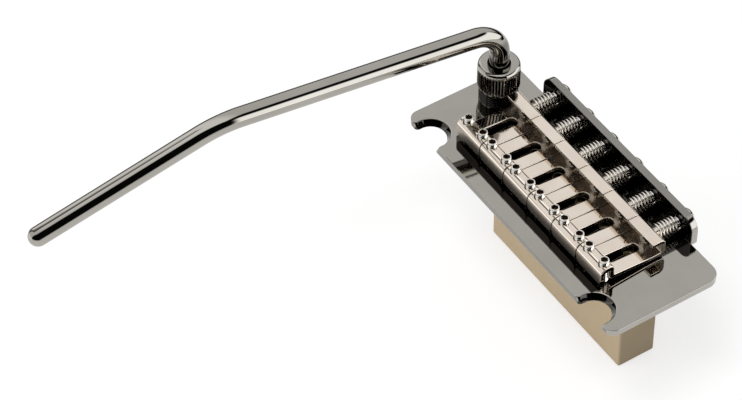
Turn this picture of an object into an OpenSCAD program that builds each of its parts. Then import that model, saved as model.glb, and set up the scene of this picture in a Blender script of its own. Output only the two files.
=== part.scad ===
// Two-point guitar tremolo bridge: a bent steel plate with six spring-loaded string saddles,
// a sustain block hanging under it and a tremolo arm in a tensioned socket.
// X runs along the row of saddles, +Y runs from the strings' side to the rear wall, +Z is up.
// The origin lies midway between the two stud notches, on the underside of the plate.

/* [Base plate] */
// How far the plate runs past the arm's axis on each side
plate_past = 7.35; // [7.3:0.05:10]
// Depth of the plate from the front edge to the rear edge beside the wall
plate_d = 35.3; // [34:0.1:40]
// Thickness of the plate
plate_t = 2; // [1.6:0.1:3]
// Radius of the plate's two front corners
plate_corner_r = 3; // [1:0.1:5]
// Radius of the plate's two rear corners
plate_rear_r = 4; // [1:0.1:5]
// How far the centres of the two pivot studs lie inside the arm's axis on each side
stud_in = 1.8; // [1:0.1:2.8]
// Distance of the stud centres behind the plate's front edge
stud_inset = 1.7; // [1:0.1:3]
// Radius of the knife edge at the bottom of each notch
notch_r = 4.3; // [3.5:0.1:5]
// How far the notch's bevel opens towards the top of the plate
notch_bevel = 1.1; // [0.4:0.1:1.5]
// Radius of the two corners at the mouth of each notch
notch_mouth_r = 1.2; // [0.5:0.1:1.5]

/* [Rear wall] */
// How far the rear wall runs past the end saddles
wall_past = 0.5; // [0:0.1:4]
// Thickness of the rear wall
wall_t = 2.2; // [1.6:0.1:3]
// Height of the wall above the plate's top face
wall_h = 7.35; // [7:0.05:10]
// How far the wall's rear face stands behind the plate's rear edge
wall_out = 2; // [1:0.1:2.2]
// Radius of the wall's upper corners
wall_corner_r = 4; // [1:0.1:5]
// Radius of the wall's lower corners, behind the plate's rear edge
wall_foot_r = 2; // [0.5:0.1:3]
// Outer radius of the bend between the plate and the wall
wall_bend_r = 1.8; // [0.6:0.1:2]

/* [String line] */
// Distance from one string to the next
string_pitch = 10.8; // [10.4:0.1:12]
// Number of strings
string_count = 6; // [4:1:6]
// Height of the intonation screws' axes above the plate's top face
axis_h = 3.4; // [3:0.1:4]

/* [Saddles] */
// Gap between two saddles
saddle_gap = 0.2; // [0.1:0.05:1]
// Sheet thickness of a saddle's floor and hook
saddle_t = 1.2; // [0.8:0.1:1.4]
// Depth of a saddle from its front lip to its back
saddle_d = 20.7; // [19:0.1:22]
// Depth of the raised ridge that the string bends over
ridge_d = 4.4; // [4.2:0.1:5]
// Height of the ridge above the plate's top face
ridge_h = 6.4; // [5.6:0.05:7]
// Thickness of the ridge where the height screws are threaded in
ridge_t = 1.8; // [1.2:0.1:2]
// Radius of the ridge's front edge
nose_r = 2.4; // [1.5:0.1:2.6]
// Radius of the ridge's rear edge
ridge_back_r = 1.4; // [0.8:0.1:1.5]
// Clearance under the saddle's front lip
lip_gap = 1.2; // [0.8:0.1:1.8]
// Radius of the lip's two lower corners
lip_corner_r = 1.6; // [0.5:0.1:2]
// Height of the floor's top face just behind the ridge, above the plate's top face
floor_front_h = 2.75; // [2.4:0.05:3.2]
// Depth of the strip that the rear hook folds forward
hook_d = 4.3; // [3.4:0.1:5]
// Outer radius of the rear hook
hook_r = 1.7; // [1.3:0.1:2]
// Width of the string slot
slot_w = 2.9; // [2.4:0.1:3.4]
// Length of the string slot
slot_l = 10.2; // [8:0.1:10.6]

/* [Intonation screws and springs] */
// Diameter of an intonation screw
screw_d = 2.9; // [2.4:0.1:3]
// Length of the screw in front of the wall's front face
screw_reach = 11.4; // [10:0.1:12]
// Diameter of the screw's domed head
screw_head_d = 5.8; // [5:0.1:6.2]
// Height of the screw's domed head
screw_head_h = 2.2; // [1.4:0.1:2.6]
// Length of the spring's room between the saddle and the wall
spring_l = 7.8; // [7.4:0.1:9]
// Outer diameter of a spring
spring_d = 4.5; // [4.3:0.1:5]
// Diameter of the spring wire
wire_d = 0.55; // [0.45:0.05:0.55]
// Number of curls in one spring
spring_turns = 5.9; // [4:0.1:5.9]

/* [Height screws] */
// Distance between the two height screws of one saddle
height_spread = 6.5; // [5.5:0.1:7]
// Diameter of a height screw
height_d = 2.6; // [2:0.1:2.8]
// Height of the screw tops above the plate's top face
height_top = 7.65; // [7.2:0.05:9]
// Width across the flats of the hexagon socket
height_key = 1.3; // [0.9:0.1:1.5]

/* [Sustain block] */
// How far the block runs past the axes of the end string holes
block_past = 3.45; // [2.8:0.05:5]
// Depth of the block
block_d = 11.7; // [10.5:0.1:13]
// Height of the block below the plate
block_h = 38.7; // [30:0.1:45]
// Distance of the string holes behind the block's front face
string_in_block = 3.2; // [2.8:0.1:3.6]
// Radius of the block's four upright edges
block_edge_r = 0.7; // [0.3:0.1:2]
// How much closer to each other than the strings the string holes of the block lie
hole_squeeze = 0.5; // [0:0.1:0.8]
// Diameter of the bores that take the strings' ball ends
ball_bore_d = 4.4; // [4:0.1:4.6]
// Depth of the ball-end bores from the bottom of the block
ball_bore_l = 28; // [20:0.1:30]
// Diameter of the narrow string holes above them
string_hole_d = 2.4; // [1.6:0.1:3]
// Distance of the string holes in front of the saddles' backs
string_in = 6.9; // [6:0.1:7.5]
// Diameter of the holes for the tremolo springs' hooks
hook_hole_d = 2.4; // [1.8:0.1:2.6]
// Depth of the hook holes
hook_hole_l = 9; // [5:0.1:12]
// Distance of the hook holes behind the string holes
hook_hole_in = 5; // [4.6:0.1:6]
// Diameter of the screws that hold the block
block_screw_d = 4; // [3:0.1:4.2]
// Length of the block screws
block_screw_l = 16; // [10:0.1:20]
// Head diameter of the block screws
block_head_d = 7; // [6:0.1:7.2]

/* [Tremolo arm] */
// Diameter of the arm's rod
arm_d = 5.5; // [5:0.1:6.5]
// Distance of the arm's socket in front of the plate's rear edge
arm_in = 10.6; // [8:0.1:14]
// Depth of the shaft below the plate's underside
arm_below = 9; // [6:0.1:12]
// Height of the elbow's corner above the plate's top face
elbow_h = 24.2; // [22:0.1:32]
// Centre-line radius of the elbow
elbow_r = 7.8; // [5:0.1:9]
// Angle at which the arm rises from the elbow
arm_rise = 0.7; // [0:0.1:20]
// Angle at which the arm points away from the strings at rest
arm_out = 7.6; // [0:0.1:20]
// Length from the elbow's corner to the second bend's corner
arm_l = 80.6; // [60:0.1:110]
// Angle of the second bend
arm_turn = 20; // [10:0.1:30]
// Centre-line radius of the second bend
arm_turn_r = 35; // [15:1:60]
// Length of the handle from the second bend's corner to its rounded end
handle_l = 54.3; // [40:0.1:80]

/* [Arm socket] */
// Gap between the end saddle and the knurled collar
socket_gap = 0.65; // [0.3:0.05:2]
// Wall of the plastic sleeve round the shaft
sleeve_wall = 0.85; // [0.6:0.05:1.2]
// Wall of the threaded bush round the sleeve
bush_wall = 1.1; // [0.9:0.05:1.5]
// Length of the bush below the plate's underside
bush_below = 8; // [6.5:0.1:11]
// Diameter of the bush's ringed neck between the plate and the collar
neck_d = 10.7; // [10.2:0.1:11.4]
// Wall of the knurled collar round the bush
collar_wall = 1; // [0.7:0.05:1.5]
// Height of the knurled collar
collar_h = 8.3; // [8:0.1:12]
// Height of the collar's lower face above the plate's top face
collar_lift = 4.2; // [2:0.1:5]
// Thickness of the collar's top round the arm
collar_top_t = 2.5; // [1.5:0.1:3]
// Radial gap between the arm and the collar's top hole
collar_hole_gap = 0.35; // [0.2:0.05:0.6]
// Number of grooves in the knurl
knurl_count = 44; // [24:1:60]
// Depth of the knurl's grooves
knurl_deep = 0.3; // [0.1:0.05:0.4]
// Height of the nut under the plate
nut_h = 4; // [3:0.1:5]
// Width of nut metal outside the bush, on each flat
nut_wall = 2.2; // [1.6:0.1:2.6]
// Thickness of the washer between the nut and the plate
washer_t = 0.8; // [0.5:0.1:1.2]

/* [Hidden] */
$fn = 48;

// Clearances between pieces that fit into each other
thread_gap = 0.05;
slide_gap = 0.15;
head_gap = 0.3;
tilt_gap = 0.35;
mouth_gap = 0.05;
seat_gap = 0.02;
spring_gap = 0.05;
spring_wall_gap = 0.2;
through = 1;

// Places in the plate's own frame
front_y = -stud_inset;
rear_y = front_y + plate_d;
top_z = plate_t;
wall_back_y = rear_y + wall_out;
wall_front_y = wall_back_y - wall_t;
wall_mid_y = wall_back_y - wall_t / 2;
wall_top_z = top_z + wall_h;
axis_z = top_z + axis_h;
saddle_back_y = wall_front_y - spring_l;
saddle_front_y = saddle_back_y - saddle_d;
ridge_back_y = saddle_front_y + ridge_d;
height_y = (saddle_front_y + ridge_back_y) / 2 + 0.4;
string_y = saddle_back_y - string_in;
hook_hole_y = string_y + hook_hole_in;
block_front_y = string_y - string_in_block;
block_back_y = block_front_y + block_d;
arm_y = rear_y - arm_in;

// Sizes of the arm socket, from the rod outwards
sleeve_bore_d = arm_d + 2 * thread_gap;
sleeve_d = sleeve_bore_d + 2 * sleeve_wall;
bush_bore_d = sleeve_d + 2 * thread_gap;
bush_d = bush_bore_d + 2 * bush_wall;
collar_bore_d = bush_d + 2 * thread_gap;
collar_d = collar_bore_d + 2 * collar_wall;
collar_z = top_z + collar_lift;
collar_top_z = collar_z + collar_h;
bush_top_z = collar_top_z - collar_top_t - 0.8;
ring_pitch = 0.75;
ring_deep = 0.3;

// Sizes along X, from the row of saddles outwards
saddle_w = string_pitch - saddle_gap;
row_w = string_count * string_pitch - saddle_gap;
wall_w = row_w + 2 * wall_past;
block_pitch = string_pitch - hole_squeeze;
block_w = (string_count - 1) * block_pitch + 2 * block_past;
arm_side = row_w / 2 + socket_gap + collar_d / 2;
arm_x = -arm_side;
stud_spacing = 2 * (arm_side - stud_in);
plate_w = 2 * (arm_side + plate_past);

// How far the arm's straight lengths lap into its bends, and how much thicker the bends are
rod_lap = 0.3;
bend_swell = 0.02;

// X place of string k, counted from 1, and of its hole in the block
function string_x(k) = (k - (string_count + 1) / 2) * string_pitch;
function bore_x(k) = (k - (string_count + 1) / 2) * block_pitch;

// Points of an arc round a centre, from one angle to another
function arc(centre, r, from, to, steps = 6) =
    [for (i = [0 : steps]) let (a = from + (to - from) * i / steps) centre + r * [cos(a), sin(a)]];

// Upright cylinder at a place in the plan
module post(x, y, low, high, d) {
    translate([x, y, low]) cylinder(h = high - low, d = d);
}

// Rectangle in the plan with rounded corners, of one radius in front and one behind
module rounded_slab(x0, x1, y0, y1, front_r, back_r, low, high) {
    translate([0, 0, low]) linear_extrude(high - low) union() {
        translate([x0, y0 + front_r]) square([x1 - x0, y1 - y0 - front_r - back_r]);
        translate([x0 + front_r, y0]) square([x1 - x0 - 2 * front_r, front_r + 1]);
        translate([x0 + back_r, y1 - back_r - 1]) square([x1 - x0 - 2 * back_r, back_r + 1]);
        for (x = [x0 + front_r, x1 - front_r]) translate([x, y0 + front_r]) circle(r = front_r);
        for (x = [x0 + back_r, x1 - back_r]) translate([x, y1 - back_r]) circle(r = back_r);
    }
}

// Outline in Y and Z, carried along X
module along_x(width) {
    rotate([90, 0, 90]) linear_extrude(width, center = true) children();
}

// Upright wall at the plate's rear edge, with rounded upper corners and a rounded bend below
module rear_wall() {
    difference() {
        along_x(wall_w) polygon(concat(
            [[wall_front_y, 0], [wall_front_y, wall_top_z], [wall_back_y, wall_top_z]],
            arc([wall_back_y - wall_bend_r, wall_bend_r], wall_bend_r, 0, -90)
        ));
        for (side = [-1, 1]) translate([side * wall_w / 2, wall_mid_y, wall_top_z]) rotate([90, 0, 0])
            linear_extrude(wall_t + 2 * through, center = true) difference() {
                square(2 * wall_corner_r, center = true);
                translate([-side * wall_corner_r, -wall_corner_r]) circle(r = wall_corner_r);
            }
        for (side = [-1, 1]) translate([side * wall_w / 2, (rear_y + wall_back_y) / 2 + through / 2, 0])
            rotate([90, 0, 0]) linear_extrude(wall_out + through, center = true) difference() {
                square(2 * wall_foot_r, center = true);
                translate([-side * wall_foot_r, wall_foot_r]) circle(r = wall_foot_r);
            }
    }
}

// Bevelled round notch, sharp at the bottom, in which a pivot stud sits
module stud_notch(x) {
    mouth_y = front_y + notch_mouth_r;
    mouth_x = sqrt(pow(notch_r + notch_bevel - mouth_gap + notch_mouth_r, 2) - pow(mouth_y, 2));
    translate([x, 0, 0]) {
        cylinder(h = plate_t, r1 = notch_r, r2 = notch_r + notch_bevel);
        translate([0, 0, -through]) cylinder(h = plate_t, r = notch_r);
        translate([0, 0, plate_t]) cylinder(h = through, r = notch_r + notch_bevel);
        for (side = [0, 1]) mirror([side, 0, 0]) translate([0, 0, -through])
            linear_extrude(plate_t + 2 * through) difference() {
                polygon([[mouth_x, front_y - 1], [mouth_x, mouth_y], [0, 0], [0, front_y - 1]]);
                translate([mouth_x, mouth_y]) circle(r = notch_mouth_r);
            }
    }
}

// Countersunk hole, or the screw that fills it when the gap is zero
module countersunk(x, y, length, gap) {
    sink = (block_head_d - block_screw_d) / 2;
    translate([x, y, top_z - sink]) cylinder(h = sink, d1 = block_screw_d + 2 * gap, d2 = block_head_d + 2 * gap);
    post(x, y, top_z - length, top_z - sink, block_screw_d + 2 * gap);
}

function block_screw_x() = [for (side = [-2, 0, 2]) side * block_pitch];
function hook_hole_x() = [for (side = [-2 : 2]) side * block_pitch];
block_screw_y = block_front_y + block_d / 2 + 0.6;

module base_plate() {
    color([0.36, 0.35, 0.33]) difference() {
        union() {
            rounded_slab(-plate_w / 2, plate_w / 2, front_y, rear_y, plate_corner_r, plate_rear_r, 0, top_z);
            rear_wall();
        }
        for (side = [-1, 1]) stud_notch(side * stud_spacing / 2);
        for (k = [1 : string_count]) {
            post(bore_x(k), string_y, -through, top_z + through, string_hole_d + 0.8);
            translate([string_x(k), wall_mid_y, axis_z]) rotate([90, 0, 0])
                cylinder(h = wall_t + 2 * through, d = screw_d + 2 * tilt_gap, center = true);
        }
        for (x = block_screw_x()) countersunk(x, block_screw_y, plate_t + through, thread_gap);
        post(arm_x, arm_y, -through, top_z + through, bush_d + 2 * thread_gap);
    }
}

module sustain_block() {
    color([0.66, 0.6, 0.49]) difference() {
        rounded_slab(-block_w / 2, block_w / 2, block_front_y, block_back_y,
            block_edge_r, block_edge_r, -block_h, 0);
        for (k = [1 : string_count]) {
            post(bore_x(k), string_y, -block_h - through, -block_h + ball_bore_l, ball_bore_d);
            post(bore_x(k), string_y, -block_h, through, string_hole_d);
        }
        for (x = hook_hole_x())
            post(x, hook_hole_y, -block_h - through, -block_h + hook_hole_l, hook_hole_d);
        for (x = block_screw_x())
            post(x, block_screw_y, top_z - block_screw_l - 0.5, through, block_screw_d + 2 * thread_gap);
    }
}

module block_screws() {
    color([0.6, 0.6, 0.6]) for (x = block_screw_x()) difference() {
        countersunk(x, block_screw_y, block_screw_l, 0);
        for (turn = [0, 90]) translate([x, block_screw_y, top_z]) rotate(turn) cube([3.6, 0.8, 2], center = true);
    }
}

// Length of rod, lapping into the bends at its ends, with whatever follows set on its end
module rod(length, below = rod_lap) {
    translate([0, 0, -below]) cylinder(h = length + below + rod_lap, d = arm_d);
    translate([0, 0, length]) children();
}

// Bend of the rod towards -Y, a hair thicker than the rod, with whatever follows set on its end
module rod_bend(radius, turn) {
    translate([0, -radius, 0]) {
        rotate([90, 0, 90]) rotate_extrude(angle = turn)
            translate([radius, 0]) circle(d = arm_d + bend_swell);
        rotate([turn, 0, 0]) translate([0, radius, 0]) children();
    }
}

// Last length of the rod, with a round end
module rod_tip(length) {
    translate([0, 0, -rod_lap]) rotate_extrude() polygon(concat(
        [[0, 0]],
        [[arm_d / 2, 0]],
        arc([0, rod_lap + length], arm_d / 2, 0, 90, 10)
    ));
}

module tremolo_arm() {
    elbow_turn = 90 - arm_rise;
    elbow_cut = elbow_r * tan(elbow_turn / 2);
    turn_cut = arm_turn_r * tan(arm_turn / 2);
    foot_chamfer = 0.6;
    color([0.3, 0.29, 0.28]) translate([arm_x, arm_y, -arm_below]) rotate(-arm_out) {
        cylinder(h = foot_chamfer, d1 = arm_d - 2 * foot_chamfer, d2 = arm_d);
        translate([0, 0, foot_chamfer]) rod(arm_below + top_z + elbow_h - elbow_cut - foot_chamfer, 0)
            rod_bend(elbow_r, elbow_turn)
            rod(arm_l - elbow_cut - turn_cut)
            rod_bend(arm_turn_r, arm_turn)
            rod_tip(handle_l - turn_cut);
    }
}

module arm_sleeve() {
    color([0.85, 0.84, 0.8]) difference() {
        post(arm_x, arm_y, -bush_below + 0.5, bush_top_z, sleeve_d);
        post(arm_x, arm_y, -bush_below, bush_top_z + through, sleeve_bore_d);
    }
}

// Outline of a bush whose outside carries thread rings from one height to another
function ringed(r, low, high) = concat(
    [[r, low]],
    [for (i = [0 : floor((high - low) / ring_pitch) - 1])
        each [[r - ring_deep, low + (i + 0.25) * ring_pitch], [r, low + (i + 0.75) * ring_pitch]]],
    [[r, high]]
);

module arm_bush() {
    color([0.3, 0.29, 0.28]) translate([arm_x, arm_y, 0]) rotate_extrude() polygon(concat(
        [[bush_bore_d / 2, -bush_below]],
        [[bush_d / 2, -bush_below], [bush_d / 2, top_z], [neck_d / 2, top_z]],
        ringed(neck_d / 2, top_z + 0.2, collar_z - slide_gap),
        [[bush_d / 2, collar_z - slide_gap], [bush_d / 2, bush_top_z], [bush_bore_d / 2, bush_top_z]]
    ));
}

module bush_washer() {
    color([0.6, 0.6, 0.6]) difference() {
        post(arm_x, arm_y, -washer_t, 0, bush_d + 2 * nut_wall);
        post(arm_x, arm_y, -washer_t - through, through, bush_d + 2 * thread_gap);
    }
}

module bush_nut() {
    low = -washer_t - nut_h;
    color([0.45, 0.44, 0.43]) difference() {
        translate([arm_x, arm_y, low]) rotate(30)
            cylinder(h = nut_h, r = (bush_d / 2 + nut_wall) / cos(30), $fn = 6);
        post(arm_x, arm_y, low - through, through, bush_d + 2 * thread_gap);
    }
}

// Knurled band: a rod whose outline is a row of teeth
module knurled_band(r, low, high) {
    step = 180 / knurl_count;
    translate([0, 0, low]) linear_extrude(high - low) polygon([for (i = [0 : 2 * knurl_count - 1])
        (r - (i % 2) * knurl_deep) * [cos(i * step), sin(i * step)]]);
}

module knurled_collar() {
    r = collar_d / 2;
    chamfer = 0.7;
    taper_h = 0.9;
    foot_r = r - 0.4;
    hole_r = arm_d / 2 + collar_hole_gap;
    core_r = r - knurl_deep;
    color([0.3, 0.29, 0.28]) translate([arm_x, arm_y, 0]) difference() {
        union() {
            rotate_extrude() polygon([
                [0, collar_z], [foot_r, collar_z], [core_r, collar_z + taper_h],
                [core_r, collar_top_z - chamfer], [r - chamfer, collar_top_z], [0, collar_top_z]
            ]);
            knurled_band(r, collar_z + taper_h, collar_top_z - chamfer);
        }
        translate([0, 0, collar_z - through])
            cylinder(h = collar_h - collar_top_t + through, d = collar_bore_d);
        translate([0, 0, collar_z]) cylinder(h = collar_h + through, r = hole_r);
    }
}

// Outline of a saddle from the side: lip, ridge, sloping floor and rear hook folded forward
function saddle_outline() =
    let (
        clear_z = screw_d / 2 + slide_gap,
        floor_z = axis_z - clear_z,
        strip_z = axis_z + clear_z,
        ridge_z = top_z + ridge_h,
        floor_front_z = top_z + floor_front_h,
        lip_z = top_z + lip_gap,
        hook_front_y = saddle_back_y - hook_d,
        hook_in_y = saddle_back_y - saddle_t,
        in_r = hook_r - saddle_t
    )
    concat(
        [[saddle_front_y, lip_z]],
        arc([saddle_front_y + nose_r, ridge_z - nose_r], nose_r, 180, 90),
        arc([ridge_back_y - ridge_back_r, ridge_z - ridge_back_r], ridge_back_r, 90, 0),
        [[ridge_back_y, floor_front_z]],
        [[hook_front_y, floor_z]],
        arc([hook_in_y - in_r, floor_z + in_r], in_r, -90, 0, 3),
        arc([hook_in_y - in_r, strip_z - in_r], in_r, 0, 90, 3),
        [[hook_front_y, strip_z], [hook_front_y, strip_z + saddle_t]],
        arc([saddle_back_y - hook_r, strip_z + saddle_t - hook_r], hook_r, 90, 0),
        arc([saddle_back_y - hook_r, floor_z - saddle_t + hook_r], hook_r, 0, -90),
        [[hook_front_y, floor_z - saddle_t], [ridge_back_y - saddle_t, floor_front_z - saddle_t]],
        [[ridge_back_y - saddle_t, ridge_z - ridge_t], [saddle_front_y + saddle_t, ridge_z - ridge_t]],
        [[saddle_front_y + saddle_t, lip_z]]
    );

// What is cut off a lower corner of the lip to leave it round
module lip_corner(side) {
    r = lip_corner_r;
    translate([side * saddle_w / 2, saddle_front_y + saddle_t / 2, top_z + lip_gap]) rotate([90, 0, 0])
        linear_extrude(saddle_t + 0.2, center = true) difference() {
            square(2 * r, center = true);
            translate([-side * r, r]) circle(r = r);
        }
}

module saddle(k) {
    slot_front_y = ridge_back_y + 1.2 + slot_w / 2;
    slot_back_y = slot_front_y + slot_l - slot_w;
    color([0.8, 0.76, 0.7]) translate([string_x(k), 0, 0]) difference() {
        along_x(saddle_w) polygon(saddle_outline());
        for (side = [-1, 1]) {
            lip_corner(side);
            post(side * height_spread / 2, height_y, top_z, top_z + height_top, height_d + 2 * thread_gap);
        }
        for (y = [slot_front_y, slot_back_y]) post(0, y, top_z, top_z + ridge_h, slot_w);
        translate([-slot_w / 2, slot_front_y, top_z]) cube([slot_w, slot_back_y - slot_front_y, ridge_h]);
        translate([0, saddle_back_y, axis_z]) rotate([90, 0, 0])
            cylinder(h = 2 * saddle_t + 0.6, d = screw_d + 2 * thread_gap, center = true);
    }
}

module intonation_screw(k) {
    head_y = wall_back_y + head_gap;
    tip_y = wall_front_y - screw_reach;
    dome_r = (pow(screw_head_d / 2, 2) + pow(screw_head_h, 2)) / (2 * screw_head_h);
    cross_w = 0.8;
    cross_l = 3;
    color([0.72, 0.71, 0.69]) translate([string_x(k), 0, axis_z]) difference() {
        union() {
            translate([0, head_y, 0]) rotate([90, 0, 0]) cylinder(h = head_y - tip_y, d = screw_d);
            intersection() {
                translate([0, head_y + screw_head_h - dome_r, 0]) sphere(r = dome_r);
                translate([0, head_y + screw_head_h, 0]) rotate([90, 0, 0])
                    cylinder(h = screw_head_h, d = screw_head_d);
            }
        }
        for (turn = [0, 90]) translate([0, head_y + screw_head_h, 0]) rotate([0, turn, 0])
            cube([cross_l, 2.4, cross_w], center = true);
    }
}

module height_screws(k) {
    dome = 0.5;
    low = top_z + seat_gap;
    high = top_z + height_top;
    color([0.78, 0.76, 0.73]) for (side = [-1, 1])
        translate([string_x(k) + side * height_spread / 2, height_y, 0]) difference() {
            rotate_extrude() polygon(concat(
                [[0, low], [height_d / 2 - 0.4, low], [height_d / 2, low + 0.4]],
                arc([height_d / 2 - dome, high - dome], dome, 0, 90, 4),
                [[0, high]]
            ));
            translate([0, 0, high - 1.5]) cylinder(h = 1.5 + through, d = height_key / cos(30), $fn = 6);
        }
}

// Centre line of a spring: straight end, small bend, curls, small bend, straight end.
// Each item holds the distance along Y and the angle round the axis, in degrees.
end_bend_r = 0.35;
spring_curl_r = (spring_d - wire_d) / 2;
function spring_line() =
    let (
        low = saddle_back_y + spring_gap,
        high = wall_front_y - spring_wall_gap,
        first = low + wire_d,
        last = high - wire_d,
        bend_angle = end_bend_r / spring_curl_r * 180 / PI,
        curls = spring_turns * 8,
        curl_low = first + end_bend_r,
        curl_high = last - end_bend_r,
        total = 2 * bend_angle + spring_turns * 360
    )
    concat(
        [[low, 0], [first, 0]],
        [for (b = [30, 60]) [first + end_bend_r * sin(b), bend_angle * (1 - cos(b))]],
        [for (i = [0 : curls]) [curl_low + (curl_high - curl_low) * i / curls, bend_angle + 45 * i]],
        [for (b = [60, 30]) [last - end_bend_r * sin(b), total - bend_angle * (1 - cos(b))]],
        [[last, total], [high, total]]
    );

function spring_point(p) = [spring_curl_r * cos(p[1]), p[0], spring_curl_r * sin(p[1])];

// One unbroken tube of six sides round a spring's centre line
module intonation_spring(k) {
    line = spring_line();
    n = len(line);
    sides = 6;
    centres = [for (p = line) spring_point(p)];
    rings = [for (i = [0 : n - 1])
        let (
            ahead = centres[min(i + 1, n - 1)] - centres[max(i - 1, 0)],
            at_end = i < 1 || i > n - 2,
            t = at_end ? [0, 1, 0] : ahead / norm(ahead),
            out = [cos(line[i][1]), 0, sin(line[i][1])],
            side = cross(t, out) / norm(cross(t, out)),
            up = cross(side, t)
        )
        each [for (s = [0 : sides - 1]) centres[i]
            + wire_d / 2 * (cos(s * 360 / sides) * up + sin(s * 360 / sides) * side)]
    ];
    walls = [for (i = [0 : n - 2], s = [0 : sides - 1])
        let (a = i * sides + s, b = i * sides + (s + 1) % sides)
        each [[a, b, b + sides], [a, b + sides, a + sides]]];
    caps = [for (s = [1 : sides - 2]) each [
        [0, s + 1, s],
        [(n - 1) * sides, (n - 1) * sides + s, (n - 1) * sides + s + 1]
    ]];
    color([0.75, 0.74, 0.72]) translate([string_x(k), 0, axis_z])
        polyhedron(points = rings, faces = concat(walls, caps));
}

// Least clear distance between two curls of the same spring, measured on its centre line
function spring_least_gap() =
    let (c = [for (p = spring_line()) spring_point(p)], n = len(c))
    min([for (i = [0 : n - 1], j = [i + 5 : 1 : n - 1]) norm(c[j] - c[i])]) - wire_d;
echo(str("least gap between the curls of a spring: ", spring_least_gap(), " mm"));

base_plate();
sustain_block();
block_screws();
tremolo_arm();
arm_sleeve();
arm_bush();
bush_washer();
bush_nut();
knurled_collar();
for (k = [1 : string_count]) {
    saddle(k);
    intonation_screw(k);
    intonation_spring(k);
    height_screws(k);
}
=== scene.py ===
"""Looks of a guitar tremolo bridge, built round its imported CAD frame.

The dark plated plate, the spring-loaded saddles, the painted block and the arm are made here again
as finer surfaces, in the same places, and each one stands for its CAD node.
"""

import math

import bmesh
import bpy
import numpy as np
from mathutils import Matrix, Vector
from mathutils.geometry import tessellate_polygon


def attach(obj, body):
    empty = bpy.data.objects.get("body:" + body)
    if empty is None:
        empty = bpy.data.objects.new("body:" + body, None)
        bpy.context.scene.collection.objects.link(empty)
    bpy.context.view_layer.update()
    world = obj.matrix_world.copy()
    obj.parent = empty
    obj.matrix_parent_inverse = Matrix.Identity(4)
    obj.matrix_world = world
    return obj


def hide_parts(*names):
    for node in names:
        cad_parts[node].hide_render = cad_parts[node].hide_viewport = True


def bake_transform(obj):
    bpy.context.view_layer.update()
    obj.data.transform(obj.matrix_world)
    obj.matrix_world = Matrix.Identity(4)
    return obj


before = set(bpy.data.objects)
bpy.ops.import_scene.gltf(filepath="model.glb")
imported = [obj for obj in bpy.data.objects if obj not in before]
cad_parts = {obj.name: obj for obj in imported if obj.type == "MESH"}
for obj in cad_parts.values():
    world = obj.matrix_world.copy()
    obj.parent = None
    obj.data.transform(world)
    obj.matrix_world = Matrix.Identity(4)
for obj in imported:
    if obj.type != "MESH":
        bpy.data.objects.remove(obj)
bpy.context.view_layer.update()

# Sizes, in millimetres and degrees
MM = 0.001
STRINGS = 6
STRING_PITCH = 10.8
BLOCK_PITCH = 10.3
FRONT_Y, REAR_Y, PLATE_HALF, TOP_Z = -1.7, 33.6, 46.15, 2.0
FRONT_CORNER_R, REAR_CORNER_R, PLATE_HOLE_R = 3.0, 4.0, 1.6
STUD_X, NOTCH_R, NOTCH_BEVEL, MOUTH_R = 37.0, 4.3, 1.1, 1.2
WALL_HALF, WALL_FRONT_Y, WALL_BACK_Y, WALL_TOP_Z = 32.8, 33.4, 35.6, 9.35
WALL_CORNER_R, WALL_FOOT_R, WALL_BEND_R, WALL_HOLE_R = 4.0, 2.0, 1.8, 1.8
PLATE_RIM_LOW, PLATE_RIM_HIGH, WALL_RIM, LOOSE = 0.15, 0.22, 0.3, 0.05
AXIS_Z = 5.4
SADDLE_HALF, SADDLE_FRONT_Y, SADDLE_BACK_Y = 5.3, 4.9, 25.6
RIDGE_BACK_Y, RIDGE_Z, LIP_Z, NOSE_R, RIDGE_BACK_R = 9.3, 8.4, 3.2, 2.4, 1.4
HOOK_FRONT_Y, FLOOR_FRONT_Z, FLOOR_Z, STRIP_Z, SHEET = 21.3, 4.75, 3.8, 7.0, 1.2
FLOOR_BEND_R, FLOOR_BEND_Z, HOOK_R = 0.6, 5.304, 1.7
RIDGE_SHEET, UNDER_RIDGE_R, UNDER_FLOOR_R, UNDER_FLOOR_Z = 1.8, 0.5, 0.8, 4.35
LIP_CORNER_R, STRIP_CORNER_R, BLANK_RIM, SLOT_RIM, PIN_RIM, SCREW_RIM = 1.6, 0.25, 0.2, 0.3, 0.15, 0.1
SLOT_HALF, SLOT_FRONT_Y, SLOT_BACK_Y = 1.45, 10.5, 20.7
HEIGHT_X, HEIGHT_Y, HEIGHT_R, HEIGHT_LOW_Z, HEIGHT_TOP_Z = 3.25, 7.5, 1.3, 2.07, 9.65
HEIGHT_RIM_R, HEIGHT_PITCH, HEIGHT_THREAD, KEY_R, KEY_DEEP = 0.22, 0.7, 0.34, 0.76, 1.5
SCREW_R, SCREW_TIP_Y, HEAD_Y, HEAD_R, HEAD_H = 1.45, 22.0, 35.9, 2.9, 2.2
SCREW_PITCH, SCREW_THREAD, CROSS_L, CROSS_W, CROSS_DEEP = 0.5, 0.22, 3.1, 0.95, 1.1
SPRING_R, WIRE_R, SPRING_TURNS = 1.975, 0.275, 5.9
SPRING_LOW_Y, SPRING_HIGH_Y, SPRING_BEND_R, CURL_STEPS = 25.65, 33.2, 0.35, 28
BLOCK_HALF, BLOCK_FRONT_Y, BLOCK_BACK_Y, BLOCK_LOW_Z, BLOCK_EDGE_R = 29.2, 15.5, 27.2, -38.7, 0.7
BLOCK_RIM, BORE_RIM, HOOK_HOLE_RIM = 0.35, 0.25, 0.15
BORE_Y, BORE_R, BORE_TOP_Z, STRING_HOLE_R = 18.7, 2.2, -10.7, 1.2
HOOK_HOLE_Y, HOOK_HOLE_R, HOOK_HOLE_TOP_Z = 23.7, 1.2, -29.7
BLOCK_SCREW_Y, BLOCK_SCREW_X = 21.95, (-2 * BLOCK_PITCH, 0.0, 2 * BLOCK_PITCH)
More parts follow.
